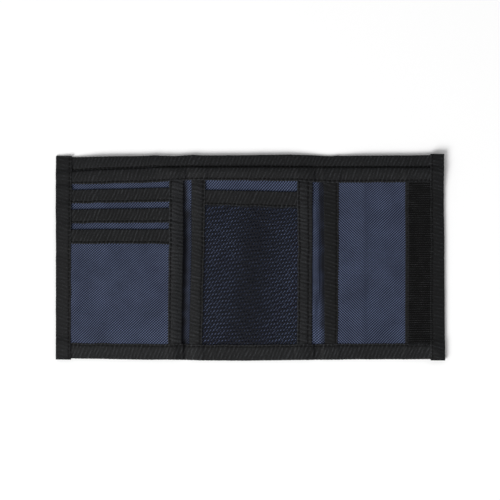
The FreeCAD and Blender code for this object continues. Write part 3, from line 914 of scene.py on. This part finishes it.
def lining_lie(x, y):
    """Between the panels the lining stands up in an uneven soft crease."""
    wander = 0.5 * ripple(y, 0 * y, 45, 44)
    left = 0.75 * smooth((x - CARD_EAST - 1.2) / 4) * smooth((CENTRE_WEST + 1 - x) / 1.5)
    left = left * (1 + 0.5 * past(y, 25, 20)) - 0.6 * bump(x, CARD_EAST + 0.8, 1.8)
    crest = CENTRE_EAST + 3.2 + wander - 0.8 * smooth(-y / 40)
    right = smooth((x - CENTRE_EAST + 1) / 2.5) * smooth((crest + 1.6 - x) / 2.4)
    right = 1.7 * right - 0.35 * bump(x, POCKET_WEST - 0.4, 2)
    middle = arch(y, INNER_SOUTH, INNER_NORTH)
    return (left + right) * (0.85 + 0.25 * ripple(x, y, 18, 43)) * middle


def lining_light_and_shade(x, y):
    """Painted shade and light on the lining: darkest deep beside the panels, where shade falls, and
    lightest on its crests.
    """
    across_left = (x - CARD_EAST - 0.6) / (CENTRE_WEST - CARD_EAST)
    left = 0.02 + 0.42 * smooth(across_left) + 1.3 * past(y, 30, 14) * smooth(across_left)
    across_right = (x - CENTRE_EAST) / (POCKET_WEST - CENTRE_EAST)
    turning = 0.52 - 0.16 * past(y, 5, 30) + 0.05 * ripple(y, 0 * y, 30, 45)
    right = 0.74 - 0.72 * past(across_right, turning, 0.42) + 0.4 * smooth((-20 - y) / 30)
    return np.where(x < SPLIT, left, right) + 0.12 * ripple(x, y, 9, 46)


PANEL_YS = (SOUTH + UNDER_EDGE, LINING_NORTH - UNDER_EDGE)
SHEETS = {}
for half, (west, east, sides) in HALVES.items():
    start = west + UNDER_EDGE if half == "west" else west
    end = east - UNDER_EDGE if half == "east" else east
    xs = spaced(start, end, CLOTH_STEP, FOLD_STRETCHES)
    ys = spaced(SOUTH + UNDER_EDGE, NORTH - 1, CLOTH_STEP)
    shell = cloth_sheet(
        f"outer_shell_{half}_cloth", xs, ys, SHELL_LOW, SHELL_TOP, shell_lie, layer="shell"
    )
    keep(shell, NAVY, [f"outer_shell{side}" for side in sides], half)
    SHEETS[f"shell_{half}"] = (shell, xs, ys, [])
    ys = spaced(*PANEL_YS, CLOTH_STEP)
    # The lining's tone is painted light and shade, read by its material.
    lining = cloth_sheet(
        f"inner_lining_{half}_cloth", xs, ys, LINING_LOW, LINING_TOP, lining_lie,
        tone=lining_light_and_shade,
    )
    keep(lining, LINING, [f"inner_lining{side}" for side in sides], half)
    SHEETS[f"lining_{half}"] = (lining, xs, ys, [])
    us = spaced(start, end, TAPE_STEP)
    bottom = tape_and_thread(
        ("bottom", f"_{half}"), half, "south", SOUTH, uneven(INNER_SOUTH - SOUTH + 0.6, 32), us,
        BOTTOM_STACK, 0, 51, sides, through=True,
    )
    mouth = tape_and_thread(
        ("mouth", f"_{half}"), half, "north", NORTH, uneven(NORTH - MOUTH_SOUTH, 33), us,
        MOUTH_STACK, 0, 52, sides, through=True, layer="shell", ribbed=0.75,
    )
    brow = tape_and_thread(
        ("lining", f"_{half}"), half, "north", LINING_NORTH, uneven(LINING_WIDTH, 31), us,
        LINING_STACK, LINING_LOW - TAPE, 53, sides, back=LINING_WIDTH - 1, ribbed=0.8,
    )
    SHEETS[f"shell_{half}"][-1].extend(bottom + mouth)
    SHEETS[f"lining_{half}"][-1].extend(brow)

us = spaced(END_SOUTH, END_NORTH, TAPE_STEP)
# Both end tapes are painted a little darker as a whole, through tone: painted shade.
for name, web, edge, width, body, stack, seed, ribbed in (
    ("left_edge", "west", WEST, INNER_WEST - WEST, "left_panel", left_stack, 54, 0.55),
    ("right_edge", "east", EAST, EAST - INNER_EAST, "right_panel", RIGHT_STACK, 55, 0.7),
):
    SHEETS[f"shell_{web}"][-1].extend(tape_and_thread(
        (name, ""), body, web, edge, uneven(width + 0.2, seed), us, stack, 0, seed,
        through=True, layer="ends", tone=-0.25, ribbed=ribbed, lean=0.27,
    ))

side_us = spaced(INNER_SOUTH - UNDER_TAPE, INNER_NORTH + UNDER_TAPE, TAPE_STEP)
# tone paints each side tape lighter or darker as a whole: painted light and shade for how the light
# falls on it.
SIDES = (
    ("card_panel_side", "east", CARD_EAST, CARD_EAST - CARD_INNER, "left_panel",
     draped(PANEL_TOP, CARD_LAYERS, 4.0), 56, 1, 0.6, 0.6),
    ("centre_left", "west", CENTRE_WEST, MESH_WEST - CENTRE_WEST, "centre_panel",
     draped(PANEL_TOP, CENTRE_LAYERS, 4.0), 57, 1, 0.15, 0.65),
    ("centre_right", "east", CENTRE_EAST, CENTRE_EAST - MESH_EAST, "centre_panel",
     draped(PANEL_TOP, CENTRE_LAYERS, 4.0), 58, 2, 0.4, 0.55),
    ("right_pocket_side", "west", POCKET_WEST, POCKET_INNER - POCKET_WEST, "right_panel",
     steady(PANEL_TOP), 59, 1, -0.45, 0.9),
)
SIDE_BOUND = {}
for name, web, edge, width, body, stack, seed, seams, tone, ribbed in SIDES:
    SIDE_BOUND[name] = tape_and_thread(
        (name, ""), body, web, edge, uneven(width, seed), side_us, stack, LINING_TOP + 0.05,
        seed, seams=seams, tone=tone, ribbed=ribbed, lean=0.27,
    )

# Card panel
CARD_XS = bound_span(WEST, CARD_EAST, FINE_STEP)


def navy_panel(node, body, xs, y_span, woven, bottom, top, bound=(), turning=None):
    """A navy sheet, finely woven in the stretch of it that shows. bound are its side tapes."""
    ys = spaced(*y_span, CLOTH_STEP, [(*woven, FINE_STEP)])
    panel = cloth_sheet(f"{node}_cloth", xs, ys, bottom, top, weave=True, tone=turning)
    keep(panel, NAVY_CHEVRON if turning else NAVY, [node], body)
    SHEETS[node] = (panel, xs, ys, list(bound))


rear_north = high("card_slot_rear")[1]
navy_panel(
    "card_backing_panel", "left_panel", CARD_XS, PANEL_YS, (rear_north - 2, INNER_NORTH + 1),
    PANEL_LOW, PANEL_TOP, SIDE_BOUND["card_panel_side"],
)
SHOWING_DOWN_TO = {
    "rear": high("card_slot_middle")[1], "middle": high("card_slot_front")[1], "front": INNER_SOUTH,
}
for number, slot in enumerate(SLOTS):
    node = f"card_slot_{slot}"
    south, north = low(node)[1], high(node)[1] - 1
    south = SOUTH + UNDER_EDGE if slot == "front" else south
    navy_panel(
        node, "left_panel", CARD_XS, (south, north), (SHOWING_DOWN_TO[slot] - 2, north),
        SLOT_LOW[slot], SLOT_TOP[slot],
    )
    edge, inner = high(f"{node}_tape")[1], low(f"{node}_tape")[1]
    us = bound_span(WEST, CARD_EAST, TAPE_STEP)
    SHEETS[node][-1].extend(tape_and_thread(
        (node, ""), "left_panel", "north", edge, uneven(edge - inner, 61 + number), us,
        steady(SLOT_TOP[slot]), SLOT_LOW[slot] - TAPE, 61 + number,
    ))

# Centre panel
CENTRE_XS = bound_span(CENTRE_WEST, CENTRE_EAST, FINE_STEP)
navy_panel(
    "centre_backing_panel", "centre_panel", CENTRE_XS, PANEL_YS,
    (NET_NORTH - 2, INNER_NORTH + 1), PANEL_LOW, PANEL_TOP,
    SIDE_BOUND["centre_left"] + SIDE_BOUND["centre_right"],
)
us = bound_span(CENTRE_WEST, CENTRE_EAST, TAPE_STEP)
NET_BOUND = tape_and_thread(
    ("mesh_pocket", ""), "centre_panel", "north", NET_NORTH,
    uneven(NET_NORTH - NET_TAPE_SOUTH, 65), us, steady(MESH_TOP), MESH_LOW - TAPE, 65,
)

# Right panel
CHEVRON, CHEVRON_BLUR = 74, 7


def turning_twill(x, y):
    """0 where the pocket's twill falls to the right and 1 where it rises, as in the photo."""
    return smooth((x - CHEVRON) / CHEVRON_BLUR + 0.5)


SHOWING = [(POCKET_INNER - 1, HOOK_WEST + 1, FINE_STEP)]
navy_panel(
    "right_pocket_panel", "right_panel",
    bound_span(POCKET_WEST, EAST, CLOTH_STEP, SHOWING),
    PANEL_YS, (INNER_SOUTH - 1, INNER_NORTH + 1), PANEL_LOW, PANEL_TOP,
    SIDE_BOUND["right_pocket_side"], turning_twill,
)

# ---------------------------------------------------------------- the mesh pocket's net

HOLE_PITCH, HOLE_ROW = 2.12, 2.03
HOLE_WIDE, HOLE_TALL, HOLE_LEAN = 0.63, 0.93, 0.3
STRAND = 0.24
AROUND, RINGS = 12, 5


def net_cells(west, east, south, north):
    """Centres of the holes, in rows that are offset by half a pitch."""
    rows = np.arange(south, north, HOLE_ROW)
    columns = np.arange(west, east, HOLE_PITCH)
    x, y = np.meshgrid(columns, rows)
    x = x + (np.arange(len(rows)) % 2)[:, None] * HOLE_PITCH / 2
    return x.ravel(), y.ravel()


def cell_border():
    """Points round a six-sided cell and the first one's angle. Neighbours share them."""
    half = HOLE_PITCH / 2
    peak = HOLE_ROW / 2 + half**2 / (2 * HOLE_ROW)
    side = HOLE_ROW - peak
    corners = [(half, side), (0, peak), (-half, side), (-half, -side), (0, -peak), (half, -side)]
    border = []
    for (x0, y0), (x1, y1) in zip(corners, corners[1:] + corners[:1]):
        border += [(x0, y0), ((x0 + x1) / 2, (y0 + y1) / 2)]
    return np.array(border), math.atan2(side, half)


def cell_quads(cells):
    """Ring 0 is the hole's edge, 1 and 2 go up and out from it, and 3 and 4 down and out."""
    k = np.arange(AROUND)
    j = (k + 1) % AROUND
    one = []
    for inner, outer, first, second in ((0, 1, k, j), (1, 2, k, j), (0, 3, j, k), (3, 4, j, k)):
        a, b = inner * AROUND, outer * AROUND
        one.append(np.stack([a + first, b + first, b + second, a + second], axis=1))
    steps = np.arange(cells)[:, None, None] * RINGS * AROUND
    return (np.concatenate(one)[None] + steps).reshape(-1, 4)


def rim(welded, cells):
    """Quads that close the net's outer border, between its upper and its lower face."""
    k = np.arange(AROUND)
    ends = np.stack([k, (k + 1) % AROUND], axis=1)
    start = np.arange(cells)[:, None, None] * RINGS * AROUND
    upper = welded[start + 2 * AROUND + ends].reshape(-1, 2)
    lower = welded[start + 4 * AROUND + ends].reshape(-1, 2)
    _, first, count = np.unique(
        np.sort(upper, axis=1), axis=0, return_index=True, return_counts=True
    )
    alone = first[count == 1]
    return np.concatenate([upper[alone, ::-1], lower[alone]], axis=1)


def make_net():
    """A knitted net: round strands, with a slanted oval hole in each six-sided cell."""
    node = "mesh_pocket_net"
    x, y = net_cells(
        CENTRE_WEST + UNDER_EDGE + 1, CENTRE_EAST - UNDER_EDGE - 1,
        SOUTH + UNDER_EDGE + 1, high(node)[1] - 2,
    )
    border, start = cell_border()
    turn = start + np.arange(AROUND) * TURN / AROUND
    draws = np.random.default_rng(71)
    size = 1 + 0.06 * draws.standard_normal((len(x), 1))
    # The holes are tighter down the middle, where the photo's net is darkest.
    size = size * (1.03 - 0.27 * bump(x, 2 + 0.12 * y, 11))[:, None]
    hole_x, hole_y = HOLE_WIDE * size * np.cos(turn), HOLE_TALL * size * np.sin(turn)
    hole_x = hole_x + HOLE_LEAN * hole_y
    level = (MESH_LOW + MESH_TOP) / 2
    points, flats = [], []
    for share, height in ((0.0, 0.0), (0.4, 0.85), (1.0, 1.0), (0.4, -0.85), (1.0, -1.0)):
        ring_x = x[:, None] + hole_x + (border[:, 0] - hole_x) * share
        ring_y = y[:, None] + hole_y + (border[:, 1] - hole_y) * share
        sag = (0.5 * bump(ring_x, 3, 12) - 0.42) * arch(ring_x, CENTRE_WEST, CENTRE_EAST)
        sag = sag * arch(ring_y, SOUTH, NET_TAPE_SOUTH + 2)
        points.append(np.stack([ring_x, ring_y, level + sag + height * STRAND / 2], axis=2))
        flats.append(np.stack([ring_x, ring_y + height * STRAND], axis=2))
    vertices = np.stack(points, axis=1).reshape(-1, 3)
    uv = np.stack(flats, axis=1).reshape(-1, 2)
    # Neighbouring cells are joined along their shared border.
    key = np.round(vertices * 500).astype(np.int64)
    _, first, back = np.unique(key, axis=0, return_index=True, return_inverse=True)
    quads = np.concatenate([back.ravel()[cell_quads(len(x))], rim(back.ravel(), len(x))])
    net = make_object(f"{node}_knit", vertices[first], quads, uv[first])
    keep(net, NET_BLACK, [node], "centre_panel")
    return net, len(x) * HOLE_PITCH * HOLE_ROW


NET, NET_AREA = make_net()

# ---------------------------------------------------------------- the closure strips


def tubes(paths, radius, sides):
    """Vertices and flat coordinates of many thin tubes along paths [tube, place, xyz]."""
    ahead = np.gradient(paths, axis=1)
    ahead /= np.linalg.norm(ahead, axis=2, keepdims=True)
    reference = np.where(np.abs(ahead[..., 1:2]) < 0.9, [[[0.0, 1.0, 0.0]]], [[[1.0, 0.0, 0.0]]])
    beside = np.cross(ahead, reference)
    beside /= np.linalg.norm(beside, axis=2, keepdims=True)
    other = np.cross(ahead, beside)
    turn = np.arange(sides) * TURN / sides
    points = paths[:, :, None] + radius * (
        beside[:, :, None] * np.cos(turn)[:, None] + other[:, :, None] * np.sin(turn)[:, None]
    )
    uv = points[..., :2] + points[..., 2:]
    return points.reshape(-1, 3), uv.reshape(-1, 2)


def scattered(columns, rows, spread, seed):
    """Points of a grid, each a little off its place, and the generator for further draws."""
    x, y = (k.ravel() for k in np.meshgrid(columns, rows))
    draws = np.random.default_rng(seed)
    x = x + draws.normal(0, spread[0], len(x))
    y = y + draws.normal(0, spread[1], len(x))
    return x, y, draws


HOOK_PITCH_X, HOOK_PITCH_Y, HOOK_RADIUS, HOOK_HEIGHT = 1.15, 1.42, 0.15, 0.7
HOOK_BORDER, HOOK_REACH = 1.9, 1.5


def make_hook_strip():
    """A woven base with rows of bent plastic hooks."""
    node = "hook_strip"
    bottom, top = low(node)[2], HOOK_BASE_TOP
    xs = spaced(HOOK_WEST, EAST - UNDER_EDGE, FINE_STEP)
    ys = spaced(INNER_SOUTH - 2.5, INNER_NORTH + 2.5, FINE_STEP)
    base = cloth_sheet(f"{node}_base", xs, ys, bottom, top, weave=True)
    keep(base, HOOK_BASE, [node], "right_panel")
    # Past its border the base takes the near-black painted shade among the hooks.
    base.data.materials.append(HOOK_FLOOR_SHADE)
    for face in base.data.polygons:
        face.material_index = int(face.center.x / MM > HOOK_WEST + HOOK_BORDER)
    columns = np.arange(HOOK_WEST + HOOK_BORDER + 0.2, INNER_EAST + 1, HOOK_PITCH_X)
    rows = np.arange(INNER_SOUTH - 0.4, INNER_NORTH + 1, HOOK_PITCH_Y)
    x, y, draws = scattered(columns, rows, (0.07, 0.04), 72)
    tall = HOOK_HEIGHT * draws.uniform(0.88, 1.06, len(x))
    lean = draws.normal(0, 0.14, len(x))
    way = np.where(np.arange(len(x)) // len(columns) % 2 == 0, 1, -1)
    # Up, over, and down again towards the next hook of the row
    out = np.array([0, 0.0, 0.03, 0.16, 0.36, 0.5, 0.5])
    up = np.array([-0.25, 0.35, 0.7, 0.95, 1.0, 0.82, 0.6])
    paths = np.zeros((len(x), len(up), 3))
    paths[..., 0] = x[:, None] + way[:, None] * out * HOOK_REACH
    paths[..., 1] = y[:, None] + 0.5 * lean[:, None] * up
    paths[..., 2] = top + tall[:, None] * up
    points, uv = tubes(paths, HOOK_RADIUS, 6)
    hooks = make_object(f"{node}_hooks", points, ring_quads(len(up), 6, len(x)), uv)
    keep(hooks, HOOK_BLACK, [node], "right_panel")
    row = stitch_row(
        "hook_strip_thread_row", 1, ys, steady(HOOK_WEST + 1.1), [(steady(top - 0.02), 1)]
    )
    keep(row, THREAD_BLACK, ["hook_strip_thread"], "right_panel")
    SHEETS[node] = (base, xs, ys, [hooks, row])


LOOP_PITCH, LOOP_RADIUS, LOOP_BORDER, LOOP_SEAM = 0.75, 0.075, 1.5, 0.8


def make_loop_strip():
    """A woven base under the shell, with a pile of fine loops that looks down."""
    node = "loop_strip"
    west, east, south, north = low(node)[0], high(node)[0], low(node)[1], high(node)[1]
    base_low, base_top = (low(node)[2] + high(node)[2]) / 2, high(node)[2]
    xs, ys = spaced(west, east, 0.9), spaced(south, north, 0.9)
    base = cloth_sheet(f"{node}_base", xs, ys, base_low, base_top, layer="shell")
    keep(base, LOOP_BLACK, [node], "left_panel")
    columns = np.arange(west + LOOP_BORDER + 0.3, east - LOOP_BORDER, LOOP_PITCH)
    rows = np.arange(south + LOOP_BORDER, north - LOOP_BORDER, LOOP_PITCH)
    x, y, draws = scattered(columns, rows, (0.16, 0.16), 73)
    facing = draws.uniform(0, TURN, len(x))
    wide = draws.uniform(0.28, 0.5, len(x))
    deep = draws.uniform(0.14, 0.2, len(x))
    t = np.linspace(0, math.pi, 6)
    paths = np.zeros((len(x), len(t), 3))
    paths[..., 0] = x[:, None] + (wide * np.cos(facing))[:, None] * np.cos(t)
    paths[..., 1] = y[:, None] + (wide * np.sin(facing))[:, None] * np.cos(t)
    paths[..., 2] = base_low + 0.03 - deep[:, None] * np.sin(t) + LOOP_RADIUS / 2
    points, uv = tubes(paths, LOOP_RADIUS, 4)
    quads = ring_quads(len(t), 4, len(x))
    pile = make_object(f"{node}_pile", points, quads, uv, layer="shell")
    keep(pile, LOOP_BLACK, [node], "left_panel")
    SHEETS[node] = (base, xs, ys, [pile])
    for name, axis, place, span in (
        ("south", 0, south + LOOP_SEAM, xs), ("north", 0, north - LOOP_SEAM, xs),
        ("west", 1, west + LOOP_SEAM, ys), ("east", 1, east - LOOP_SEAM, ys),
    ):
        row = stitch_row(
            f"loop_strip_thread_{name}", axis, span, steady(place),
            [(steady(SHELL_TOP + 0.03), 1), (steady(base_low - 0.02), -1)], "shell",
        )
        keep(row, THREAD_BLACK, ["loop_strip_thread"], "left_panel")
        SHEETS[node][-1].append(row)


make_hook_strip()
make_loop_strip()

# ---------------------------------------------------------------- floor, world, light, camera

scene = bpy.context.scene
scene.view_settings.view_transform = "Standard"

FLOOR_SIZE, FLOOR_DROP = 6, 0.00002
bpy.ops.mesh.primitive_plane_add(size=FLOOR_SIZE, location=(0, 0, -FLOOR_DROP))
floor = bpy.context.object
floor.name = "floor"
paper = Shader("white_paper")
grain = paper.noise(2.0, 2)
paper.finish(paper.ramp(grain, (0.3, (0.9, 0.9, 0.9)), (0.7, (0.92, 0.92, 0.92))), 0.9)
floor.data.materials.append(paper.material)

world = bpy.data.worlds.new("studio")
scene.world = world
world.use_nodes = True
world.node_tree.nodes["Background"].inputs["Color"].default_value = (1, 1, 1, 1)
world.node_tree.nodes["Background"].inputs["Strength"].default_value = 0.49


def soft_light(name, place, power, size):
    """A square area light aimed at the wallet."""
    data = bpy.data.lights.new(name, "AREA")
    data.energy, data.size = power, size
    light = bpy.data.objects.new(name, data)
    light.location = place
    aim = -light.location
    light.rotation_euler = aim.to_track_quat("-Z", "Y").to_euler()
    scene.collection.objects.link(light)


soft_light("key", (-2.4, -2.7, 2.9), 243, 2.6)

CAMERA_HEIGHT = 0.889
camera_data = bpy.data.cameras.new("camera")
camera_data.lens, camera_data.sensor_width = 100, 36
camera = bpy.data.objects.new("camera", camera_data)
camera.location = (0, 0.0045, CAMERA_HEIGHT)
scene.collection.objects.link(camera)
scene.camera = camera
